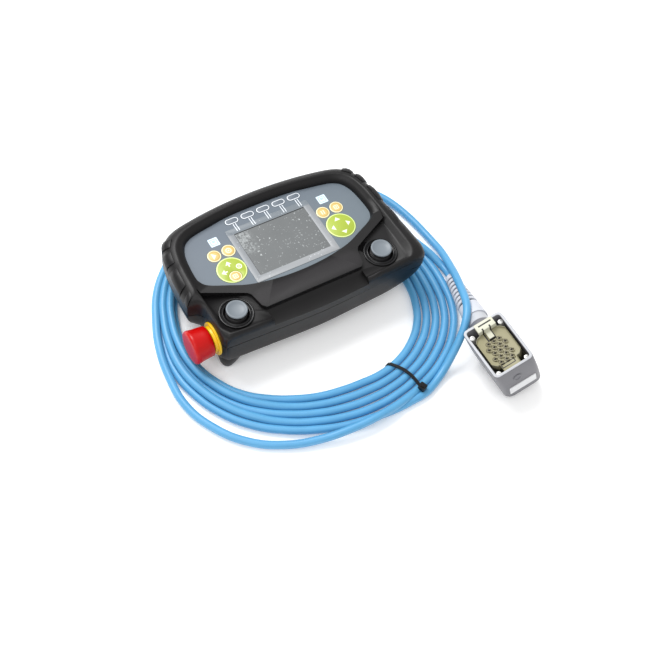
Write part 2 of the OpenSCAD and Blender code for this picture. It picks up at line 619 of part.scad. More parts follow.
module gland_body() color([0.25, 0.25, 0.26]) {
    at_gland(hump[2] - wall - 5) cylinder(d = gland_thread_d, h = wall + 5);
    at_gland(hump[2]) cylinder(r = 14 / sqrt(3), h = 5, $fn = 6);
}
module gland_nut() color([0.25, 0.25, 0.26]) at_gland(hump[2] + 5) rotate_extrude()
    polygon([[0, 0], [7, 0], [7, 6], [6.2, 8], [0, 8]]);
module gland_boot() color([0.1, 0.1, 0.1]) at_gland(hump[2] + 13) rotate_extrude()
    polygon([[0, 0], [6, 0], [5.6, 9], [5, 18], [4.7, gland_end - hump[2] - 13],
        [0, gland_end - hump[2] - 13]]);

// ---- plug ---------------------------------------------------------------

plug_xy = [127.8, -196.3];
plug_pos = [plug_xy.x, plug_xy.y, (hood_w / 2 - 5.5) * sin(hood_lean) + hood_h * cos(hood_lean)];
cavity_l = hood_l - 2 * hood_wall;
cavity_w = hood_w - 2 * hood_wall;
face_depth = 10;                   // contact face below the rim
insert_h = 26;
module at_plug() { translate(plug_pos) rotate([0, -hood_lean, 0]) children(); }

function round_rect(w, l, r, z) = [for (q = [0:3], a = [0:15:90]) let (t = -90 * q - a)
    [((q == 0 || q == 3) ? 1 : -1) * (w / 2 - r) + r * cos(t),
        ((q == 0 || q == 1) ? -1 : 1) * (l / 2 - r) + r * sin(t), z]];

module plug_hood() color([0.5, 0.5, 0.51]) difference() {
    union() {
        along(entry, boot_tip) translate([0, 0, -3]) cylinder(r = entry_r, h = entry_h + 3, $fn = 32);
        at_plug() loft([round_rect(hood_w - 11, hood_l - 11, 7, -hood_h), round_rect(hood_w - 5, hood_l - 5, 7, 1.8 - hood_h),
        round_rect(hood_w - 1.6, hood_l - 1.6, 7, 6 - hood_h), round_rect(hood_w, hood_l, 6, -hood_h / 2),
            round_rect(hood_w, hood_l, 5, 0)]);
    }
    at_plug() slab(cavity_w, cavity_l, 3, -face_depth - insert_h, face_depth + insert_h + 1);
}

module plug_seal() color([0.75, 0.75, 0.76]) at_plug() difference() {
    slab(hood_w - 0.6, hood_l - 0.6, 4.7, 0, 0.8);
    slab(cavity_w + 0.4, cavity_l + 0.4, 3.2, -1, 3);
}

tab = [4.5, 4.5];
contact_pitch = 6.2;
contact_rows = [3, 4, 3, 4, 3];
contact_pts = [for (j = [0:4], i = [0:contact_rows[j] - 1])
    [(i - (contact_rows[j] - 1) / 2) * contact_pitch, (j - 2) * 5.5 - 4]];
insert_w = cavity_w - 8;
insert_l = cavity_l - 7;
plug_screw_pts = [for (x = [-1, 1], y = [-1, 1]) [x * (cavity_w / 2 - 3.2), y * (cavity_l / 2 - 3.2)]];

module plug_insert() color([0.86, 0.86, 0.76]) at_plug() difference() {
    union() {
        slab(insert_w, insert_l - 12, 2, -face_depth - insert_h, insert_h);
        slab(insert_w - 12, insert_l, 2, -face_depth - insert_h, insert_h);
        slab(cavity_w - 0.4, cavity_l - 0.4, 3, -face_depth - insert_h, insert_h - 8);
    }
    for (p = contact_pts) translate(p) rod(4, -face_depth - 14, 20);
    for (s = [-1, 1]) translate([s * (insert_w / 2 - 2.6), -4, 0]) slab(1.6, 14, 0.7, -face_depth - 5, 20);
    translate([0, 5 - insert_l / 2, 0]) slab(10, 2.2, 1, -face_depth - 5, 20);
    for (p = plug_screw_pts) translate(p) rod(2.9, -face_depth - 20, 20);
}

module plug_contacts() color([0.85, 0.7, 0.35]) at_plug() for (p = contact_pts) translate(p)
    difference() {
        rod(2.8, -face_depth - 14, 11.5);
        rod(1.6, -face_depth - 9, 12);
    }

module plug_latch() color([0.8, 0.8, 0.72]) at_plug() translate([0, insert_l / 2 - 7.5, -face_depth])
    difference() {
        slab(15, 10, 1.5, 0, 4);
        for (x = [-4, 4]) translate([x, -2, 0]) slab(1.6, 7, 0.6, 1, 6);
        translate([0, -4, 0]) slab(5, 6, 0.6, 1.5, 6);
    }

module plug_screws() color([0.7, 0.7, 0.72]) at_plug() for (p = plug_screw_pts) translate(p) difference() {
    union() {
        rod(2.9, -face_depth - 16, 9);
        rod(4.8, -face_depth - 8, 2.2);
    }
    slab(3.6, 0.8, 0.3, -face_depth - 6.6, 3);
}

entry_at = [2, -21];               // cable entry on the hood's end wall
entry = plug_pos + [entry_at.x * cos(hood_lean) - entry_at.y * sin(hood_lean), hood_l / 2,
    entry_at.x * sin(hood_lean) + entry_at.y * cos(hood_lean)];
boot_tip = [155.5, -87.5, 9];
entry_r = 12;                      // boss that carries the nut
entry_h = 5;
nut_l = 12;
module along(p, q) {
    d = q - p;
    translate(p) rotate([0, acos(d.z / norm(d)), atan2(d.y, d.x)]) children();
}

module plug_nut() color([0.78, 0.79, 0.81]) along(entry, boot_tip) translate([0, 0, entry_h]) rotate_extrude()
    polygon([[0, 0], [entry_r - 0.6, 0], [entry_r - 0.4, 2], [entry_r - 1, nut_l], [0, nut_l]]);

rib_n = 7;
module plug_boot() color([0.78, 0.79, 0.82]) along(entry, boot_tip) {
    base = entry_h + nut_l;
    total = norm(boot_tip - entry) - base;
    pitch = (total - 8) / rib_n;
    translate([0, 0, base]) rotate_extrude() polygon(concat([[0, 0]],
        [for (i = [0:rib_n - 1]) let (r = entry_r - 1.6 - i * 0.62, z = i * pitch)
            each [[r, z], [r - 0.2, z + pitch * 0.62], [r - 1.7, z + pitch * 0.66], [r - 1.8, z + pitch]]],
        [[6.2, total - 7.5], [5.6, total], [0, total]]));
}

// ---- cable --------------------------------------------------------------

coil_centre = [2, -42];
strand_z = 4.1;                    // centre line of a strand on the rest plane

// Route of the loose outer turn, from the gland's boot to the coil.
lead_route = [[gland_x, gland_end, gland_z], [gland_x, gland_end + 5, gland_z], [12.5, 72, 11.2], [19, 82, 12.2],
    [29, 88.8, 12.6], [41, 91.5, 12.6], [52, 91.5, 12.6], [64, 90, 12.6], [80, 87, 12], [97, 83.5, 8], [113, 75, 4.6],
    [130, 62, 4.1], [143, 48, 4.1], [150, 38, 4.1], [156, 24, 4.1], [160.5, 8, 4.1], [163.5, -8, 4.1],
    [165.5, -24, 4.1], [166, -38, 5.5], [166, -50, 8], [164, -60, 11], [160.5, -72, 15], [157, -84, 19],
    [153.5, -93.5, 23], [150.5, -102, 26.5], [146.5, -111.5, 30], [142, -123, 34], [137, -133.5, 37.4],
    [132, -142.5, 39], [126.5, -150, 38.6], [122.6, -154.8, 36.4], [118.5, -158, 33], [114.6, -160.5, 29],
    [111, -163, 24.5], [107, -165.8, 20.5], [102, -169, 15.5], [96, -172.5, 10.5], [88, -177, 6],
    [76, -183.3, 4.1], [60, -189.3, 4.1], [43, -193, 4.1], [24, -195, 4.1], [4, -195, 4.1], [-16, -192.5, 4.1],
    [-36, -188, 4.1], [-58, -183.2, 4.1], [-77, -178, 4.1], [-96.5, -169.5, 4.1], [-114, -157.5, 4.1],
    [-130, -141.5, 4.1], [-143, -122, 4.1], [-151.5, -102, 4.1], [-155.5, -82, 4.1], [-156.5, -60, 4.1],
    [-154.5, -38, 4.1], [-149.5, -17, 4.1], [-141, 4, 4.1], [-130, 25, 4.1]];

// Route from the innermost turn over the coil to the plug's boot.
boot_axis = (boot_tip - entry) / norm(boot_tip - entry);
tail_route = [[31.8, 69.1, 4.1], [51.7, 64.5, 8.5], [72.5, 58.8, 12.3], [93.9, 49.9, 12.4],
    [115, 37.2, 12.4], [134.3, 19.7, 12.4], [146, 0, 12.4], [151.5, -20, 11], [154.5, -40, 7.5],
    [155.8, -57, 4.8], [157, -71, 4.8], boot_tip + 7 * boot_axis, boot_tip];

function unit(v) = v / norm(v);
function tangent(p, i) = unit(p[min(i + 1, len(p) - 1)] - p[max(i - 1, 0)]);
function tube_ring(p, i, d, sides) = let (t = tangent(p, i), s = unit(cross([0, 0, 1], t)), u = cross(t, s))
    [for (k = [0:sides - 1]) p[i] + d / 2 * (cos(360 * k / sides) * u + sin(360 * k / sides) * s)];

module tube(route, d, sides = 10) {
    loft([for (i = [0:len(route) - 1]) tube_ring(route, i, d, sides)]);
}

module cable_lead() color([0.35, 0.65, 0.9]) tube(lead_route, cable_d);
module cable_tail() color([0.35, 0.65, 0.9]) tube(tail_route, cable_d);
module cable_coil() color([0.35, 0.65, 0.9]) translate(coil_centre) rotate_extrude($fn = 128)
    translate([coil_r - cable_d / 2, 0]) square([(coil_turns - 1) * 8.3 + cable_d, cable_d]);

tie_angle = -69.4;
module cable_tie() color([0.06, 0.06, 0.06]) translate(coil_centre) rotate([0, 0, tie_angle])
    translate([coil_r - cable_d / 2, 0, 0]) {
        span = (coil_turns - 1) * 8.3 + cable_d;
        difference() {
            box([-1.3, -2.2, 0], [span + 1.3, 2.2, cable_d + 1.3]);
            box([-0.1, -3, 1], [span + 0.1, 3, cable_d + 0.1]);
        }
        box([span - 3.5, -3, cable_d + 1.3], [span + 2, 3, cable_d + 5]);
    }

front_shell();
rear_shell();
shell_seal();
grip(67, 80);  // left_grip
grip(10, 23);  // right_grip
rear_cover();
rest_pad();
housing_screws();
cover_screws();
keypad_overlay();
display_frame();
display_window();
lcd_module();
main_board();
left_pad_key();
small_key(keys[2]);  // left_stop_key
small_key(keys[3]);  // left_outer_key
small_key(keys[4]);  // left_inner_key
right_pad_key();
small_key(keys[5]);  // right_inner_key
small_key(keys[6]);  // right_outer_key
soft_key(0);  // soft_key_1
soft_key(1);  // soft_key_2
soft_key(2);  // soft_key_3
soft_key(3);  // soft_key_4
soft_key(4);  // soft_key_5
stick_collar(-1);  // left_stick_collar
stick_base(-1);  // left_stick_base
stick_gimbal(-1);  // left_stick_gimbal
stick_shaft(-1);  // left_stick_shaft
stick_skirt(-1);  // left_stick_skirt
stick_cap(-1);  // left_stick_cap
stick_collar(1);  // right_stick_collar
stick_base(1);  // right_stick_base
stick_gimbal(1);  // right_stick_gimbal
stick_shaft(1);  // right_stick_shaft
stick_skirt(1);  // right_stick_skirt
stick_cap(1);  // right_stick_cap
estop_head();
estop_stem();
estop_collar();
estop_nut();
estop_contacts();
enabling_lever();
enabling_switch();
gland_body();
gland_nut();
gland_boot();
plug_hood();
plug_seal();
plug_insert();
plug_contacts();
plug_latch();
plug_screws();
plug_nut();
plug_boot();
cable_lead();
cable_coil();
cable_tail();
cable_tie();
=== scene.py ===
import json
import math

import bmesh
import bpy
from mathutils import Matrix, Vector

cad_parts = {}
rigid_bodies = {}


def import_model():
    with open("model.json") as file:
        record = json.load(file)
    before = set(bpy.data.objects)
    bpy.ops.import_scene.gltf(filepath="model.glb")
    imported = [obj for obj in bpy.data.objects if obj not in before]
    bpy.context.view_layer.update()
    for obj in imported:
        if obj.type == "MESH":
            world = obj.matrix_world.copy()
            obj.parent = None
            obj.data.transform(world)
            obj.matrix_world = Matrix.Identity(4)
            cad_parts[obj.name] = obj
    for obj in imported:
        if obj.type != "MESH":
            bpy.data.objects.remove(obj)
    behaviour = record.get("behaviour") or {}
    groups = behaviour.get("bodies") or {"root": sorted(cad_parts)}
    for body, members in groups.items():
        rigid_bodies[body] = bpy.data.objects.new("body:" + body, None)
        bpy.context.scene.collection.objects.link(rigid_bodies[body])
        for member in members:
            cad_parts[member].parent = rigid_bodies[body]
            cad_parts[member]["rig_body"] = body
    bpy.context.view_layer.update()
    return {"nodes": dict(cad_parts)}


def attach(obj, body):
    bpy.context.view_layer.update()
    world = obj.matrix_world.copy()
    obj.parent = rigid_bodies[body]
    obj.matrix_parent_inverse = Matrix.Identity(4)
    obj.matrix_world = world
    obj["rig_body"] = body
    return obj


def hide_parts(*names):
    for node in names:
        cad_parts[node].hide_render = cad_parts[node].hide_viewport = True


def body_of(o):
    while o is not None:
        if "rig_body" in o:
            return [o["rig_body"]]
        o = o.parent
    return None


# A handheld teach pendant that lies on its own coiled cable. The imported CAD
# model is the fixed frame: finer pieces are made round it and stand for its
# nodes, and the other nodes keep their shape and take a material.
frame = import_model()


# ---- camera --------------------------------------------------------------

# The pendant is looked at from above and from its operator's left, with a
# lens a little longer than normal, so that it keeps its shape.
camera = bpy.data.objects.new("camera", bpy.data.cameras.new("camera"))
bpy.context.scene.collection.objects.link(camera)
bpy.context.scene.camera = camera
right = Vector((0.857, -0.506, 0.099)).normalized()
back = Vector((-0.349, -0.429, 0.833)).normalized()
up = back.cross(right).normalized()
turn = Matrix((up.cross(back), up, back)).transposed().to_4x4()
camera.matrix_world = Matrix.Translation((-0.4102, -0.5934, 1.0079)) @ turn
camera.data.sensor_width = 36.0
camera.data.lens = 66.5


# ---- cable ---------------------------------------------------------------

# One round control cable, its cores in a soft blue jacket. It is clamped in
# the gland at the housing's rear, runs once loosely round the outside and
# five times round the coil, and ends in the plug's boot.
MM = 0.001  # sizes are written in millimetres, and places too
cable_d = 8.1 * MM
lead = [(10, 56, 10.5), (10, 62, 10.5), (12.4, 74.5, 11.2), (19.8, 85.4, 12.2), (31, 92.5, 12.6),
        (44, 95, 12.6), (57, 94.2, 12.6), (70, 91.5, 12.4), (84, 88, 11.3), (98, 82.5, 8), (113, 74, 4.8),
        (130, 62, 4.1), (143, 48, 4.1), (150, 38, 4.1), (156, 24, 4.1), (160.5, 8, 4.1), (163.5, -8, 4.1),
        (165.5, -24, 4.1), (166, -38, 5.5), (165.5, -50, 8), (163.6, -61, 11.2), (160.6, -72, 15),
        (157.3, -83, 19), (153.8, -93.5, 23), (150.4, -102, 26.5), (146.6, -111.5, 30), (142, -122.5, 34),
        (137.2, -133, 37.2), (132, -142, 38.6), (126, -150, 37.4), (119.5, -156.8, 33.6), (113, -162, 27.8),
        (106, -166.6, 20.8), (98, -171.2, 13.6), (88.5, -176.4, 7.6), (76, -182.6, 4.4), (60, -188.9, 4.1),
        (41.7, -190.6, 4.1), (22.9, -191, 4.1)]
tail = [(34.5, 59.6, 8), (51.2, 60.2, 12.2), (72.5, 57, 12.4), (93.9, 47, 12.4), (113, 32, 12.4),
        (127, 13, 12.4), (136.5, -7, 12.4), (142.5, -25, 12.4), (146.9, -38, 12.1), (150.9, -48.5, 10.8),
        (154.2, -57.5, 8.4), (156.4, -65.5, 6.5), (157.5, -73, 6), (157.3, -80.2, 7), (155.5, -87.5, 9)]

# The coil starts and ends so many turns after its upper left. Its turns lie
# stacked at the left and side by side at the right: degrees clockwise from
# the upper left, radius of the outermost strand, distance between strands.
coil_at = Vector((2, -42, 0))
coil_start, coil_end = -0.325, 5.2
upper_left = 153.1
points_a_turn = 30
strand_on_floor, strand_pitch = 4.1, 8.2
bundle = [(0, 145.4, 3.5), (20, 141.5, 3.8), (60, 142.5, 8.3), (76, 144, 8.4), (93, 149, 8.5),
          (123, 148, 8.5), (143, 144, 8.5), (153, 144.5, 8.5), (169, 150, 8.6), (177, 155, 9.4),
          (190, 158, 9.5), (203, 155, 9), (222, 149, 8.5), (243, 147.5, 9.9), (257, 145.3, 9.2),
          (271, 145.2, 8.5), (283, 148, 8.4), (298, 151, 7.1), (307, 151, 6.4), (320, 151, 5.6),
          (333, 148.5, 4.6), (341, 144.2, 3.9), (351, 142.6, 3.5), (360, 141.9, 3.5)]
# The first turn leaves the bundle after the tie: degrees, radius and height.
loose_from = 222
loose = [(loose_from, 149, 4.1), (233, 149.5, 9), (243, 150.5, 12.2), (253, 152.5, 11), (263, 155.5, 7.5),
         (272, 160, 4.8), (281, 164.2, 4.1), (290, 168.2, 4.1), (306, 168.3, 4.1), (314, 166.5, 4.1),
         (321, 161.5, 4.8), (328, 157, 7.2), (341, 151.2, 10.8), (351, 146.1, 11.5), (360, 145.4, 11.5)]


def along(knots, degrees, soft=6):
    """The values between two knots, softened over some degrees."""
    def value(d):
        d = min(max(d, knots[0][0]), knots[-1][0])
        k = next(k for k in range(1, len(knots)) if d <= knots[k][0])
        share = (d - knots[k - 1][0]) / (knots[k][0] - knots[k - 1][0])
        return [p + (q - p) * share for p, q in zip(knots[k - 1][1:], knots[k][1:])]
    before, here, after = (value(degrees + step) for step in (-soft, 0, soft))
    return [0.25 * (p + r) + 0.5 * q for p, q, r in zip(before, here, after)]


# Over the first degrees of a turn the strand moves on to its next place in
# the row, and every other strand lies on top of its neighbours.
change_over = 40
coil = []
steps = round((coil_end - coil_start) * points_a_turn)
for step in range(steps + 1):
    turns = coil_start + (coil_end - coil_start) * step / steps
    turn = math.floor(turns)
    degrees = 360 * (turns - turn)
    outer, space = along(bundle, degrees)
    change = 1 - min(1, degrees / change_over)
    place = max(0, turn) + {0: change, 1: -change}.get(turn, 0)
    row = turn + (degrees > 180)
    on_top = {0: 1, 1: 0}.get(row, row) % 2 == 0
    r = outer - space * place
    z = strand_on_floor + on_top * math.sqrt(max(0, strand_pitch ** 2 - space ** 2))
    if turn == 0 and degrees > loose_from:
        r, z = along(loose, degrees)
    angle = math.radians(upper_left - degrees)
    coil.append((coil_at.x + r * math.cos(angle), coil_at.y + r * math.sin(angle), z))

route = [Vector(point) * MM for point in lead + coil + tail]
curve = bpy.data.curves.new("cable", "CURVE")
curve.dimensions = "3D"
curve.bevel_depth = cable_d / 2
curve.bevel_resolution = 5
curve.resolution_u = 6
spline = curve.splines.new("BEZIER")
spline.bezier_points.add(len(route) - 1)
for knot, at in zip(spline.bezier_points, route):
    knot.co = at
    knot.handle_left_type = knot.handle_right_type = "AUTO"
cable = bpy.data.objects.new("cable", curve)
bpy.context.scene.collection.objects.link(cable)


class Socket:
    """A shader socket that ordinary maths can be written on."""

    def __init__(self, tree, socket):
        self.tree = tree
        self.socket = socket

    def node(self, kind, out=0, links=None, **settings):
        """Any node: its settings come first, then the values or links of its sockets."""
        made = self.tree.nodes.new("ShaderNode" + kind)
        for name, value in settings.items():
            setattr(made, name, value)
        for name, value in (links or {}).items():
            if isinstance(value, Socket):
                self.tree.links.new(value.socket, made.inputs[name])
            else:
                made.inputs[name].default_value = value
        return Socket(self.tree, made.outputs[out])

    def maths(self, operation, *others):
        return self.node("Math", links=dict(enumerate([self, *others])), operation=operation)

    def __add__(self, other):
        return self.maths("ADD", other)

    def __radd__(self, other):
        return self.maths("ADD", other)

    def __sub__(self, other):
        return self.maths("SUBTRACT", other)

    def __rsub__(self, other):
        return -self + other

    def __mul__(self, other):
        return self.maths("MULTIPLY", other)

    def __rmul__(self, other):
        return self.maths("MULTIPLY", other)

    def __truediv__(self, other):
        return self.maths("DIVIDE", other)

    def __neg__(self):
        return self.maths("MULTIPLY", -1.0)

    def __abs__(self):
        return self.maths("ABSOLUTE")

    def band(self, low, high):
        """0 at low, 1 at high and a smooth rise between."""
        return self.node("MapRange", links={"Value": self, "From Min": low, "From Max": high},
                         interpolation_type="SMOOTHSTEP")

    def mix(self, below, above):
        """The colour below where this is 0 and the colour above where it is 1."""
        a, b = (tint if isinstance(tint, Socket) else (*tint, 1.0) for tint in (below, above))
        return self.node("Mix", out=2, links={0: self, 6: a, 7: b}, data_type="RGBA")


def linear(r, g, b):
    """A colour that is seen as r, g, b of 255, as the shader takes it."""
    return tuple(((c / 255 + 0.055) / 1.055) ** 2.4 if c > 10 else c / 255 / 12.92 for c in (r, g, b))


def material(name, **sockets):
    """A Principled material with plain values on its sockets, its shader and its Object coordinates."""
    made = bpy.data.materials.new(name)
    made.use_nodes = True
    tree = made.node_tree
    shader = tree.nodes["Principled BSDF"]
    for key, value in sockets.items():
        shader.inputs[key.replace("_", " ")].default_value = value
    coords = tree.nodes.new("ShaderNodeTexCoord")
    return made, shader, Socket(tree, coords.outputs["Object"])


def drive(value, shader, socket):
    value.tree.links.new(value.socket, shader.inputs[socket])


def axes(at):
    """The three Object coordinates in millimetres."""
    return [at.node("SeparateXYZ", links={"Vector": at}, out=k) * 1000.0 for k in range(3)]


def moulded(name, colour, rough=0.5, grain=0.00004, spread=0.12, over=None, **sockets):
    """Moulded plastic or rubber: a fine grain, faint mottling and uneven gloss, with print and, on some
    pieces, painted light and shade over it.
    """
    made, shader, at = material(name, **sockets)
    fine = at.node("TexNoise", links={"Vector": at, "Scale": 900.0, "Detail": 3.0, "Roughness": 0.6})
    broad = at.node("TexNoise", links={"Vector": at, "Scale": 38.0, "Detail": 3.0})
    dark = tuple(c * (1 - spread) for c in colour)
    light = tuple(min(1, c * (1 + spread)) for c in colour)
    base = (fine * 0.4 + broad * 0.6).band(0.3, 0.7).mix(dark, light)
    for mask, tint in over(*axes(at)) if over else ():
        base = mask.mix(base, tint)
    drive(base, shader, "Base Color")
    drive(broad * 0.16 + fine * 0.06 + (rough - 0.11), shader, "Roughness")
    drive(fine.node("Bump", links={"Height": fine, "Distance": grain, "Strength": 1.0}), shader, "Normal")
    return made


jacket = moulded("cable_jacket", linear(84, 156, 202), rough=0.42, grain=0.00003, spread=0.05,
                 Coat_Weight=0.15, Coat_Roughness=0.25)
curve.materials.append(jacket)
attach(cable, "housing")
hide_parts("cable_lead", "cable_coil", "cable_tail")


# ---- housing -------------------------------------------------------------

# Two half shells, moulded in black plastic and screwed together from behind
# over a rubber seal. Soft pads are pressed into both flanks, and the cable's
# gland and bend boot sit in the rear wall.
nodes = frame["nodes"]


def length(x, y):
    return (x * x + y * y).maths("SQRT")


def rounded(x, y, cx, cy, hx, hy, r=0.0):
    """Distance in millimetres from the edge of a rounded rectangle, negative inside."""
    qx, qy = abs(x - cx) - (hx - r), abs(y - cy) - (hy - r)
    outside = length(qx.maths("MAXIMUM", 0.0), qy.maths("MAXIMUM", 0.0))
    return outside + qx.maths("MAXIMUM", qy).maths("MINIMUM", 0.0) - r


def inside(distance, soft=0.12):
    """1 where a distance is negative."""
    return (-distance).band(-soft, soft)


def chin(x, y, z):
    """The flat top of the chin below the display is painted a little paler."""
    flat = inside(rounded(x, y, 0, -52, 58, 9, 8), 4.0) * (z - 59.5).band(0, 1)
    return [(flat, linear(33, 31, 33))]


black = moulded("black_plastic", linear(17, 16, 17), rough=0.42, over=chin, Specular_IOR_Level=0.3)
rubber = moulded("black_rubber", linear(15, 14, 16), rough=0.42, spread=0.2, Specular_IOR_Level=0.3)
satin = moulded("black_satin", linear(11, 11, 13), rough=0.3, Specular_IOR_Level=0.35)
steel = moulded("screw_steel", linear(160, 161, 165), rough=0.34, Metallic=1.0)


def taken(node):
    """A copy of a CAD node's mesh, its loose triangles merged into one skin with whole flat faces."""
    skin = bmesh.new()
    skin.from_mesh(nodes[node].data)
    bmesh.ops.remove_doubles(skin, verts=skin.verts, dist=0.01 * MM)
    bmesh.ops.dissolve_limit(skin, angle_limit=math.radians(0.5), verts=skin.verts, edges=skin.edges)
    piece = bpy.data.objects.new(node + "_form", bpy.data.meshes.new(node + "_form"))
    skin.to_mesh(piece.data)
    skin.free()
    bpy.context.scene.collection.objects.link(piece)
    bpy.ops.object.select_all(action="DESELECT")
    bpy.context.view_layer.objects.active = piece
    piece.select_set(True)
    return piece


def eased(piece, width, sharp=40, shortest=0.0):
    """Rounds the edges that turn more than this angle, apart from the shortest ones."""
    bpy.ops.object.mode_set(mode="EDIT")
    bpy.ops.mesh.select_mode(type="EDGE")
    bpy.ops.mesh.select_all(action="DESELECT")
    bpy.ops.mesh.edges_select_sharp(sharpness=math.radians(sharp))
    if shortest:
        bpy.ops.object.mode_set(mode="OBJECT")
        for edge in piece.data.edges:
            start, end = (piece.data.vertices[k].co for k in edge.vertices)
            edge.select = edge.select and (start - end).length > shortest
        bpy.ops.object.mode_set(mode="EDIT")
    bpy.ops.mesh.bevel(offset=width, offset_type="OFFSET", segments=2, profile=0.5, affect="EDGES",
                       clamp_overlap=True, loop_slide=False)
    bpy.ops.object.mode_set(mode="OBJECT")
    return piece


def fitted(piece, finish, stands_for=(), body=None, angle=35):
    """Finishes a piece: material, smooth faces, the body it rides on and the CAD nodes it stands for."""
    piece.data.materials.clear()
    piece.data.materials.append(finish)
    bpy.ops.object.shade_smooth_by_angle(angle=math.radians(angle))
    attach(piece, body or body_of(nodes[stands_for[0]])[0])
    if stands_for:
        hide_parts(*stands_for)


def refined(node, finish, width=0.0, angle=35, sharp=40, reshape=None):
    """A CAD node's own form as one skin, smooth and with its sharp edges rounded."""
    piece = taken(node)
    if width:
        eased(piece, width * MM, sharp)
    if reshape:
        reshape(piece)
    fitted(piece, finish, [node], angle=angle)


def paint(node, finish):
    """Gives a CAD node this material."""
    nodes[node].data.materials.clear()
    nodes[node].data.materials.append(finish)


corner_push = Vector((5.2, -1.6, 0)) * MM
flank_middle, pad_depth = 60, 0.9


def squared(piece):
    """Fills out the corner right of the joystick, which is squarer than the other."""
    for vertex in piece.data.vertices:
        x, y = vertex.co.x / MM, vertex.co.y / MM
        share = min(1, max(0, (x - 96) / 20)) * min(1, max(0, -y / 64))
        vertex.co += corner_push * share


def pressed(piece):
    """Sets a pad deep in its seat, so that only its scallops stand out."""
    for vertex in piece.data.vertices:
        inward = Vector((math.copysign(flank_middle * MM, vertex.co.x), 0, vertex.co.z)) - vertex.co
        vertex.co += inward.normalized() * pad_depth * MM


refined("front_shell", black, angle=32, reshape=squared)
refined("rear_shell", black, angle=32, reshape=squared)
refined("rear_cover", satin, 0.5)
for name in ("left_grip", "right_grip"):
    refined(name, rubber, 0.5, angle=50, sharp=50, reshape=pressed)
for name in ("rest_pad", "gland_boot"):
    refined(name, rubber, 0.3)
for name in ("gland_body", "gland_nut"):
    refined(name, satin, 0.3)
paint("shell_seal", rubber)
for name in ("housing_screws", "cover_screws"):
    paint(name, steel)


# ---- overlay and keys ----------------------------------------------------

# A grey-blue plastic film, printed and glued over the keypad. The keys are
# the film's own embossed discs on dome contacts: each has a pale border line
# and a plain symbol of its function.
grey = linear(98, 107, 117)
white = linear(226, 231, 236)
soft_pitch, soft_middle, soft_y = 17.7, 1.5, 43.3
overlay_sides = 61.8


def line(distance, half=0.3):
    """1 along the zero of a distance."""
    return inside(abs(distance) - half)


def stems(x, y, low, high=39.9):
    """Two lines from each function key towards the display."""
    across = ((x - soft_middle) / soft_pitch + 0.5).maths("FRACT") * soft_pitch - soft_pitch / 2
    reach = rounded(x, y, soft_middle, (low + high) / 2, 44, (high - low) / 2)
    return line(abs(across - 0.8) - 1.3, 0.38) * inside(reach)


def film_print_and_light(x, y, z):
    """A faint fall of light, the stems, and a page symbol at either side."""
    marks = [((y * 0.6 - x * 0.2).band(-40, 45), linear(93, 103, 114)), (stems(x, y, 34.4), white)]
    page, ink = linear(214, 234, 248), linear(120, 158, 190)
    for cx in (-overlay_sides, overlay_sides):
        marks += [(inside(rounded(x, y, cx, 27.8, 5.0, 5.0, 0.9)), page),
                  (line(rounded(x, y, cx, 27.8, 3.3, 3.3, 0.6), 0.28), ink),
                  (inside(rounded(x, y, cx, 27.8, 1.7, 0.35)), ink),
                  (inside(rounded(x, y, cx, 29.2, 1.7, 0.35)), ink)]
    return marks


film = moulded("overlay_film", linear(102, 113, 121), rough=0.46, grain=0.00001, spread=0.03, over=film_print_and_light)
refined("keypad_overlay", film)


def arrows(x, y):
    """Four arrowheads that point outwards."""
    far, near = abs(x).maths("MAXIMUM", abs(y)), abs(x).maths("MINIMUM", abs(y))
    return inside((near * 1.25 + far - 10.9).maths("MAXIMUM", 6.9 - far), 0.2)


def up_left(x, y):
    """The two arrows and the small ring of the left pad."""
    part = (y - abs(x)).band(0, 0.3) + (-x - abs(y)).band(0, 0.3)
    tails = inside(rounded(x, y, 0, 5.8, 0.7, 1.4)) + inside(rounded(x, y, -5.8, 0, 1.4, 0.7))
    off = length(x - 8.4, y - 1)
    return arrows(x, y) * part + tails + line(off - 2.4, 0.6) + inside(off - 0.8)


def ring(x, y):
    """The symbols of the small keys: a ring with a dot, two bars, a wedge and a framed square."""
    return line(length(x, y) - 2.5, 0.5) + inside(length(x, y) - 1.0)


def bars(x, y):
    return inside(rounded(x, y, -1.2, 0, 0.55, 2.4)) + inside(rounded(x, y, 1.2, 0, 0.55, 2.4))


def wedge(x, y):
    return inside((abs(y) * 1.1 + x - 2.4).maths("MAXIMUM", -x - 2.0))


def square(x, y):
    return line(rounded(x, y, 0, 0, 2.1, 2.1, 0.4), 0.45) + inside(rounded(x, y, 0, 0, 0.8, 0.8))


# Body, border and symbol colours of the two kinds of key, and its slot.
green = (linear(158, 176, 58), linear(214, 232, 150), linear(234, 238, 220), "green_key")
yellow = (linear(192, 166, 94), linear(232, 222, 182), linear(238, 228, 204), "yellow_key")
large_key, small_key = 30 / 2, 14 / 2
for name, cx, cy, r, (body_tint, border_tint, mark_tint, slot), mark in (
        ("left_pad", -61.9, -9.7, large_key, green, up_left),
        ("right_pad", 61.9, -9.7, large_key, green, arrows),
        ("left_stop", -61.9, -17.8, 12.5 / 2, yellow, square),
        ("left_outer", -69.5, 12.4, small_key, yellow, wedge),
        ("left_inner", -53.8, 12.4, small_key, yellow, ring),
        ("right_inner", 53.8, 12.4, small_key, yellow, bars),
        ("right_outer", 69.5, 12.4, small_key, yellow, square)):
    def key_print(x, y, z):
        x, y = x - cx, y - cy
        off = length(x, y)
        border = (off - (r - 1.15)).band(-0.15, 0.15)
        halo = [(inside(off - r * 0.62, 0.8), linear(216, 182, 112))] if r < large_key else []
        return halo + [(mark(x, y).maths("MINIMUM", 1.0), mark_tint), (border, border_tint)]
    face = moulded(name + "_print", body_tint, rough=0.4, grain=0.00001, spread=0.03, over=key_print)
    refined(name + "_key", face, 0.35)
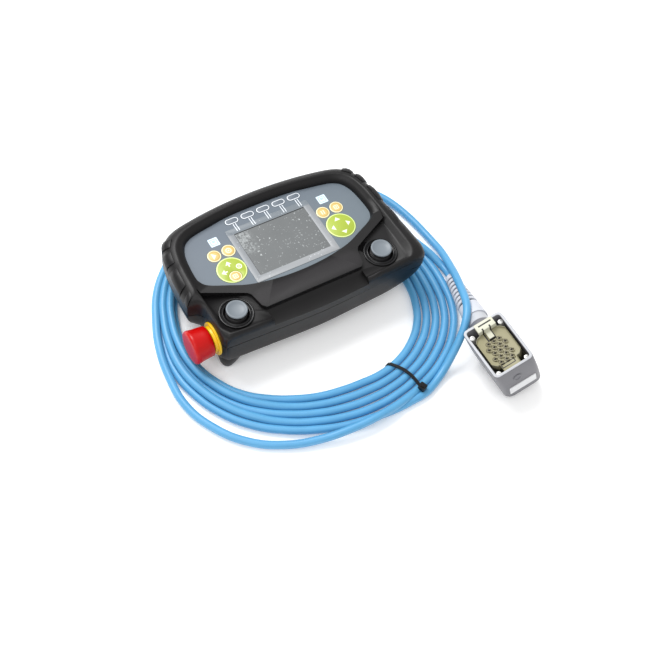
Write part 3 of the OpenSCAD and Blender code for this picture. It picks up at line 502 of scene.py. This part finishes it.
for k in range(5):
    soft_x = soft_middle + soft_pitch * (k - 2)

    def soft_print(x, y, z):
        return [(line(rounded(x, y, soft_x, soft_y, 6.7, 2.95, 2.95), 0.42), white)]
    face = moulded(f"soft_key_{k + 1}_print", grey, rough=0.46, grain=0.00001, spread=0.03, over=soft_print)
    refined(f"soft_key_{k + 1}", face, 0.2)


# ---- display -------------------------------------------------------------

# A grey screen in a silver frame, held under the overlay's window. Both are
# still under a dusty protective film that has lifted at the upper left.
def flecks(x, y, share):
    """Small pale specks of dust and bubbles."""
    at = x.node("CombineXYZ", links={"X": x, "Y": y})
    fine = x.node("TexNoise", links={"Vector": at, "Scale": 0.42, "Detail": 4.0, "Roughness": 0.62})
    patch = x.node("TexNoise", links={"Vector": at, "Scale": 0.085, "Detail": 2.0})
    return (fine + patch * 0.35).band(share, share + 0.04)


def frame_print_and_sheen(x, y, z):
    """The silver is greyer along its top, where the stems run down to the screen, and a painted sheen
    lightens it towards its lower right.
    """
    top = (y - 28).band(-1.5, 1.5)
    return [(top, linear(114, 122, 129)), ((x * 0.5 - y).band(-10, 45), linear(150, 153, 156)),
            (top * (x - 30).band(18, 0), linear(108, 116, 123)), (stems(x, y, 29.6) * top, white),
            (flecks(x, y, 0.835) * 0.6, white)]


def screen_dust_and_shadow(x, y, z):
    """Dust all over, more of it where the film has lifted, and a painted shadow of the window's recess along
    the top and left edges.
    """
    recess_shadow = (y - 26.6).band(-0.3, 0.3).maths("MAXIMUM", (-x - 39.2).band(-0.2, 0.2))
    lifted = (-x - 21).band(0, 12) * (y + 6).band(0, 16)
    return [(lifted * flecks(x, y, 0.64), linear(140, 144, 145)),
            (flecks(x, y, 0.805), linear(174, 178, 179)), (recess_shadow, linear(40, 42, 44))]


silver = moulded("frame_silver", linear(134, 138, 142), rough=0.38, grain=0.00001, spread=0.04,
                 over=frame_print_and_sheen)
glass = moulded("screen", linear(102, 105, 106), rough=0.3, grain=0.00001, spread=0.03, over=screen_dust_and_shadow)
refined("display_frame", silver, 0.1)
refined("display_window", glass)
paint("lcd_module", satin)
paint("main_board", moulded("circuit", linear(28, 90, 52), rough=0.45))


# ---- joysticks -----------------------------------------------------------

# A trim ring, turned in two steps and pressed into the deck, holds a rubber
# bellows round the stick. On the stick sits a dished grey thumb cap of nylon,
# and the stick tilts in a gimbal under the deck.
def drawn(points):
    """A line through these points, drawn by extruding one vertex from each to the next."""
    bpy.ops.object.select_all(action="DESELECT")
    bpy.ops.mesh.primitive_plane_add(size=1, calc_uvs=False, location=(0, 0, 0))
    piece = bpy.context.active_object
    bpy.ops.object.mode_set(mode="EDIT")
    bpy.ops.mesh.select_mode(type="VERT")
    bpy.ops.mesh.merge(type="CENTER")
    bpy.ops.transform.translate(value=points[0])
    for here, there in zip(points, points[1:]):
        move = [b - a for a, b in zip(here, there)]
        bpy.ops.mesh.extrude_vertices_move(TRANSFORM_OT_translate={"value": move})
    bpy.ops.mesh.select_all(action="SELECT")
    bpy.ops.mesh.remove_doubles(threshold=0.001)
    return piece


def closed_skin(piece):
    """Merges what meets and turns all faces outwards."""
    bpy.ops.mesh.select_all(action="SELECT")
    bpy.ops.mesh.remove_doubles(threshold=0.001)
    bpy.ops.mesh.normals_make_consistent(inside=False)
    bpy.ops.object.mode_set(mode="OBJECT")
    return piece


def turned(profile, sides=64, hollow=False):
    """A lathed piece round its own Z axis: radius and height pairs. A hollow one is a closed ring."""
    points = [(r, 0, z) for r, z in profile]
    piece = drawn(points + points[:1] if hollow else points)
    bpy.ops.mesh.spin(steps=sides, angle=2 * math.pi, center=(0, 0, 0), axis=(0, 0, 1))
    return closed_skin(piece)


def placed(name, piece, place):
    """Names a piece drawn in millimetres and applies its place, so that its object stays at the origin."""
    piece.name = piece.data.name = name
    piece.matrix_world = Matrix.Scale(MM, 4) @ place
    bpy.ops.object.transform_apply(location=True, rotation=True, scale=True)
    return piece


stick_x, stick_y = 81, -55
ring_profile = [
    (12.3, 58), (17.25, 58), (17.25, 59), (16.9, 59.5), (16.2, 59.7), (15.5, 59.5), (15.1, 58.9),
    (14.6, 58.7), (14.2, 59.0), (13.8, 59.5), (13.2, 59.7), (12.6, 59.5), (12.3, 59)]
neck_profile = [(2.6, 60.4), (5.6, 60.6), (6.0, 63.1), (2.6, 63.1)]
cap_profile = [
    (0, 64.4), (2.5, 64.4), (2.5, 63.2), (8.1, 63.2), (9.6, 63.6), (10.3, 64.3), (10.5, 65.0), (10.4, 65.7),
    (9.9, 66.1), (9.2, 66.2), (8.4, 65.9), (7.2, 65.3), (5.2, 64.8), (2.8, 64.6), (0, 64.5)]
folds = ((9.8, 57.55), (7.6, 58.9))
fold_r = 0.8
cap_grey = moulded("cap_grey", linear(112, 120, 127), rough=0.42, grain=0.00002, spread=0.04)
for side, x in (("left", -stick_x), ("right", stick_x)):
    place = Matrix.Translation(Vector((x, stick_y, 0)))
    stick = side + "_stick"
    fitted(placed(side + "_ring", turned(ring_profile, hollow=True), place), satin, [stick + "_collar"])
    fitted(placed(side + "_bellows", turned(neck_profile, 48, hollow=True), place), rubber, body=stick)
    refined(stick + "_skirt", rubber, angle=40)
    for r, z in folds:
        bead = [(r + fold_r * math.cos(a), z + fold_r * math.sin(a))
                for a in (math.pi / 4 * q for q in range(8))]
        fold = placed(f"{side}_fold_{r:.0f}", turned(bead, 48, hollow=True), place)
        fitted(fold, rubber, body=stick, angle=60)
    cap = placed(side + "_cap", turned(cap_profile, 72), place)
    fitted(cap, cap_grey, [stick + "_cap"], angle=50)
    paint(stick + "_base", satin)
    paint(stick + "_gimbal", moulded(side + "_gimbal", linear(190, 186, 160), rough=0.5))
    paint(stick + "_shaft", steel)


# ---- emergency stop ------------------------------------------------------

# A red barrel with a domed face, whose skirt runs over the neck of a yellow
# collar. The head slides and turns on its stem; the collar is screwed to the
# housing's left wall with a nut from inside.
stop_place = Matrix.Translation(Vector((-105, -56, 33))) @ Matrix.Rotation(math.radians(-90), 4, "Y")
head_profile = [
    (0, 12.2), (6.1, 12.2), (6.1, 9.2), (13.9, 9.2), (13.9, 6.6), (14.3, 6.1), (15.0, 6.1), (15.4, 6.8),
    (15.8, 12), (16.4, 18.5), (16.9, 21.2), (17.2, 22.8), (17.0, 24.4), (16.1, 25.6), (14.6, 26.1),
    (10.6, 26.35), (5.0, 26.45), (0, 26.5)]
collar_profile = [
    (6.05, -7), (8.05, -7), (8.05, 0), (17.0, 0), (17.0, 1.4), (16.6, 1.9), (13.6, 1.9), (13.4, 2.2),
    (13.4, 4.4), (13.0, 4.8), (6.05, 4.8)]
red = moulded("stop_red", linear(182, 3, 2), rough=0.32, grain=0.00001, spread=0.05, Specular_IOR_Level=0.3)
bright = moulded("stop_yellow", linear(236, 190, 20), rough=0.36, grain=0.00001, spread=0.05)
head = placed("stop_head", turned(head_profile, 96), stop_place)
fitted(head, red, ["estop_head"], angle=40)
collar = placed("stop_collar", turned(collar_profile, 96, hollow=True), stop_place)
fitted(collar, bright, ["estop_collar"])
for name in ("estop_stem", "estop_nut", "estop_contacts"):
    paint(name, satin)


# ---- enabling switch -----------------------------------------------------

# A pale grey lever of moulded plastic, hinged in the rear shell, that the
# fingers of the left hand press against its switch block.
refined("enabling_lever", moulded("lever_grey", linear(186, 188, 192), rough=0.45), 0.4)
paint("enabling_switch", satin)


# ---- plug hood -----------------------------------------------------------

# A grey die-cast hood that lies on its long side and widens towards its
# foot, with a pale rubber seal pressed round its rim. The cable enters at
# its side through a pale clamping nut.
lean = math.radians(15)
hood_depth, hood_half = 50, 29.5
foot_spread, entry_side = Vector((9, -9, 0)) * MM, -166
plug_at = Vector((127.8, -196.3, 16.5 * math.sin(lean) + hood_depth * math.cos(lean)))
plug_place = Matrix.Translation(plug_at) @ Matrix.Rotation(-lean, 4, "Y")
hood_grey = moulded("hood_grey", linear(112, 112, 117), rough=0.42, spread=0.06)
pale = moulded("pale_rubber", linear(186, 188, 193), rough=0.5, spread=0.05)


def flared(piece):
    """Spreads a piece of the plug towards the hood's foot, as its draft does, but not the cable's entry."""
    for vertex in piece.data.vertices:
        depth = -(plug_place.inverted() @ (vertex.co / MM)).z / hood_depth
        if depth > 0 and vertex.co.y < entry_side * MM:
            vertex.co += foot_spread * depth
            vertex.co.z = max(vertex.co.z, 0)
    return piece


refined("plug_hood", hood_grey, 0.8, angle=40, reshape=flared)
refined("plug_seal", pale, 0.3)
refined("plug_nut", pale, 0.6)


# ---- plug insert ---------------------------------------------------------

# A cream plastic block, held in the hood by four corner screws: a tray with
# cut corners and a thin rim round seventeen crimped contacts, a sprung
# tongue and a flange over the hood's far rim.
contact_pitch, row_pitch = 6.2, 5.5
contact_profile = [(1.3, -6), (2.1, -6), (2.1, -4.4), (1.3, -4.4)]
screw_profile = [(0, -16), (2.6, -16), (2.6, -4), (2.4, -3.4), (0.9, -3.1), (0.9, -3.8), (0, -3.8)]
corners = ((-16.2, 21), (16.2, 21), (-15.8, -24), (15.8, -24))
contacts = [((i - (n - 1) / 2) * contact_pitch, (j - 2) * row_pitch - 4)
            for j, n in enumerate((3, 4, 3, 4, 3)) for i in range(n)]
tray_rim, tray_depth = 0.3, 3
tray_outline = [
    (-16.6, -13), (-12.5, -17), (-10, -17), (-10, -25), (9, -25), (9, -17), (12.5, -17), (16.6, -13),
    (16.6, 14), (12.5, 18), (10, 19), (10, 26.6), (-8, 26.6), (-8, 19), (-12.5, 18), (-16.6, 14)]


def insert_painted_shade(x, y, z):
    """Painted shade that grows with depth, and contact holes, slits and windows painted dark as their shade,
    in the plug's own coordinates.
    """
    u = (x - plug_at.x) * math.cos(lean) + (z - plug_at.z) * math.sin(lean)
    v = y - plug_at.y
    w = (z - plug_at.z) * math.cos(lean) - (x - plug_at.x) * math.sin(lean)
    near = length(u - contacts[0][0], v - contacts[0][1])
    for cx, cy in contacts[1:]:
        near = near.maths("MINIMUM", length(u - cx, v - cy))
    slits = line(rounded(u, v, -1, -19.6, 7, 1.7), 0.5)
    for cx, cy, hx, hy in ((-3.6, 15.5, 0.8, 6.2), (4.4, 15.5, 0.8, 6.2), (0.4, 9.8, 4.6, 0.7),
                           (1.5, 25.2, 7.2, 0.8)):
        slits = slits + inside(rounded(u, v, cx, cy, hx, hy))
    top = (w + 7).band(0, 0.4)
    return [((-w - 3.4).band(0, 1.0), linear(150, 145, 113)), ((-w - 7).band(0, 7), linear(52, 50, 38)),
            (line(near - 2.3, 0.35) * top, linear(84, 76, 52)),
            (inside(near - 1.3) * top, linear(44, 38, 26)),
            (slits.maths("MINIMUM", 1.0) * top, linear(34, 32, 26))]


def slab(outline, low, high):
    """A flat piece: its outline drawn, filled and extruded to its height."""
    piece = drawn([(x, y, low) for x, y in outline + outline[:1]])
    bpy.ops.mesh.edge_face_add()
    bpy.ops.mesh.extrude_region_move(TRANSFORM_OT_translate={"value": (0, 0, high - low)})
    return closed_skin(piece)


def oblong(w, h, r, cx=0.0, cy=0.0, steps=6):
    """The outline of a rounded rectangle."""
    return [(cx + sx * (w / 2 - r) + r * math.cos(a), cy + sy * (h / 2 - r) + r * math.sin(a))
            for q, (sx, sy) in enumerate(((1, 1), (-1, 1), (-1, -1), (1, -1)))
            for a in (math.pi / 2 * (q + k / steps) for k in range(steps + 1))]


def joined(pieces):
    """Several pieces made one."""
    bpy.ops.object.select_all(action="DESELECT")
    for piece in pieces:
        piece.select_set(True)
    bpy.context.view_layer.objects.active = pieces[0]
    bpy.ops.object.join()
    return pieces[0]


def repeated(piece, spots):
    """One piece copied to each of these spots, the copies made one."""
    copies = []
    for x, y in spots:
        mesh = piece.data.copy()
        mesh.transform(Matrix.Translation(Vector((x, y, 0))))
        copies.append(bpy.data.objects.new(piece.name, mesh))
        bpy.context.scene.collection.objects.link(copies[-1])
    bpy.data.objects.remove(piece)
    return joined(copies)


tray = slab(tray_outline, -16.2, -2.6)
bpy.ops.object.mode_set(mode="EDIT")
bpy.ops.mesh.select_mode(type="FACE")
bpy.ops.mesh.select_all(action="DESELECT")
bpy.ops.object.mode_set(mode="OBJECT")
for face in tray.data.polygons:
    face.select = face.normal.z > 0.9
bpy.ops.object.mode_set(mode="EDIT")
bpy.ops.mesh.inset(thickness=tray_rim)
bpy.ops.transform.translate(value=(0, 0, -tray_depth))
bpy.ops.object.mode_set(mode="OBJECT")
base = slab(oblong(38.6, 53.6, 3), -36, -16)
flange = slab([(-9, 19.5), (11, 19.5), (11, 28.8), (-9, 28.8)], 0.9, 1.7)
flange_foot = slab([(-9, 19.5), (11, 19.5), (11, 26.8), (-9, 26.8)], -5, 1.0)
tongue = slab([(-2.7, 10.6), (3.5, 10.6), (3.5, 21.6), (-2.7, 21.6)], -6, -3.4)
insert = joined([
    tray, base, flange, flange_foot, tongue,
    repeated(turned(contact_profile, 16, hollow=True), contacts)])
cream = moulded("insert_cream", linear(206, 206, 188), rough=0.5, spread=0.08, over=insert_painted_shade)
insert = flared(placed("insert", eased(insert, 0.25, shortest=1.5), plug_place))
fitted(insert, cream, ["plug_insert", "plug_contacts", "plug_latch"])
screws = flared(placed("insert_screws", repeated(turned(screw_profile, 24), corners), plug_place))
fitted(screws, moulded("screw_bright", linear(206, 206, 204), rough=0.4, Metallic=0.6), ["plug_screws"])


# ---- label and boss ------------------------------------------------------

# A bare white label plate, glued to the end wall of the hood, and above it
# a small round boss of the casting. The wall leans outwards to its foot.
end_lean = 10.2
end_wall = plug_place @ Matrix.Translation(Vector((0, -hood_half, 0))) \
    @ Matrix.Rotation(math.radians(90), 4, "X") @ Matrix.Rotation(math.radians(-end_lean), 4, "X")
label = placed("label_plate", slab(oblong(30, 9.5, 0.8, 5.5, -34), -0.6, 0.5), end_wall)
fitted(label, moulded("label_white", linear(222, 223, 225), rough=0.4, spread=0.02), body="housing")
boss_profile = [(0, -0.2), (4.4, -0.2), (4.4, 0.6), (4.0, 0.9), (3.3, 0.9), (2.9, 0.4), (0, 0.4)]
boss = placed("hood_boss", turned(boss_profile, 40), end_wall @ Matrix.Translation(Vector((0.5, -17, 0))))
fitted(boss, hood_grey, body="housing")


# ---- boot ----------------------------------------------------------------

# A pale soft sleeve, pushed over the cable at the plug's nut: a smooth cone
# that ends in eight ribs, each thinner than the last, so that it bends
# evenly. The grooves between them are painted dark, as shade.
entry_across, entry_down = 2, 21
entry = plug_at + Vector((entry_across * math.cos(lean) + entry_down * math.sin(lean), hood_half,
                          entry_across * math.sin(lean) - entry_down * math.cos(lean)))
tip = Vector(tail[-1])
axis = (tip - entry).normalized()
boot_place = Matrix.Translation(entry) @ axis.to_track_quat("Z", "Y").to_matrix().to_4x4()
reach = (tip - entry).length
ribs_from, ribs, first_rib, taper = 35, 8, 10.9, 0.6
rib = (reach - ribs_from - 3) / ribs
boot_profile = [(0, 16), (12.4, 16), (12.2, 21), (11.2, 34)]
for k in range(ribs):
    z = ribs_from + k * rib
    r = first_rib - taper * k
    boot_profile += [(r - 2.2, z), (r - 2.2, z + rib * 0.38), (r - 0.2, z + rib * 0.44), (r, z + rib * 0.7),
                     (r - 0.2, z + rib * 0.97)]
boot_profile += [(5.8, reach - 3), (5.4, reach), (0, reach)]


def groove_shade(x, y, z):
    """Painted shade where the sleeve is thinner than its ribs."""
    along_axis = (x - entry.x) * axis.x + (y - entry.y) * axis.y + (z - entry.z) * axis.z
    away = length(length(x - entry.x, y - entry.y), z - entry.z)
    off_axis = (away * away - along_axis * along_axis).maths("MAXIMUM", 0.0).maths("SQRT")
    rib_r = (along_axis - ribs_from) * (-taper / rib) + first_rib
    return [(inside(off_axis - rib_r + 1.3, 0.4) * (along_axis - 34.5).band(-0.3, 0.3), linear(62, 66, 78))]


boot_grey = moulded("boot_grey", linear(202, 205, 213), rough=0.5, spread=0.04, over=groove_shade)
fitted(placed("boot", turned(boot_profile, 56), boot_place), boot_grey, ["plug_boot"], angle=30)


# ---- cable tie -----------------------------------------------------------

# A thin black nylon strap, drawn tight round the turns, with its square
# ratchet head outside. It arches over the strands and ends at the floor.
tie_place = Matrix.Translation(coil_at) @ Matrix.Rotation(math.radians(-69.4), 4, "Z")
strap_w, strap_thick = 3.2, 1.1
inner_r, outer_r = 110, 153
strap_line = [(110.4, 0.7), (109.9, 3.5), (110.6, 7.0), (112.6, 8.9)] \
    + [(113 + k * 2.1, 8.9 + 1.1 * math.sin(k * math.pi / 18)) for k in range(1, 18)] \
    + [(150.6, 8.9), (152.9, 7.2), (153.7, 4), (153.2, 0.7)]
shares = [min(1, max(0, (r - inner_r) / (outer_r - inner_r))) for r, z in strap_line]
slants = [4.5 * math.sin(math.pi * share) for share in shares]
strap = drawn([(r, slant - strap_w / 2, z) for (r, z), slant in zip(strap_line, slants)])
bpy.ops.mesh.extrude_region_move(TRANSFORM_OT_translate={"value": (0, strap_w, 0)})
closed_skin(strap)
wall = strap.modifiers.new("wall", "SOLIDIFY")
wall.thickness = strap_thick
wall.offset = 0
bpy.ops.object.modifier_apply(modifier="wall")
tie = joined([strap, slab(oblong(7.6, 7.0, 1.2, outer_r, 0.4), 8.6, 13.4),
              slab(oblong(3.8, 3.6, 0.5, outer_r, 0.4), 13.4, 14.2)])
fitted(placed("tie", tie, tie_place), satin, ["cable_tie"], angle=30)


# ---- floor and light -----------------------------------------------------

# A plain pale floor that stands for the table, under an even white sky, with
# a large soft lamp behind the pendant and a weaker one at its left.
bpy.ops.mesh.primitive_plane_add(size=8, location=(0, 0, -0.5 * MM))
floor = bpy.context.active_object
floor.name = "floor"
floor_paint, _, _ = material("floor", Base_Color=(0.98, 0.98, 0.98, 1), Roughness=0.9,
                             Emission_Color=(1, 1, 1, 1), Emission_Strength=0.12)
floor.data.materials.append(floor_paint)

sky = bpy.data.worlds.new("sky")
sky.use_nodes = True
sky.node_tree.nodes["Background"].inputs["Color"].default_value = (1, 1, 1, 1)
sky.node_tree.nodes["Background"].inputs["Strength"].default_value = 0.75
bpy.context.scene.world = sky
aim = Vector((0, -0.05, 0))
for name, at, size, power in (("key", (-0.2, 0.9, 1.5), 0.9, 26), ("fill", (-0.9, -0.5, 1.5), 1.2, 8)):
    lamp = bpy.data.lights.new(name, "AREA")
    lamp.size = size
    lamp.energy = power
    stand = bpy.data.objects.new(name, lamp)
    bpy.context.scene.collection.objects.link(stand)
    stand.location = at
    stand.rotation_mode = "QUATERNION"
    stand.rotation_quaternion = (Vector(at) - aim).to_track_quat("Z", "Y")
bpy.context.scene.view_settings.view_transform = "Standard"
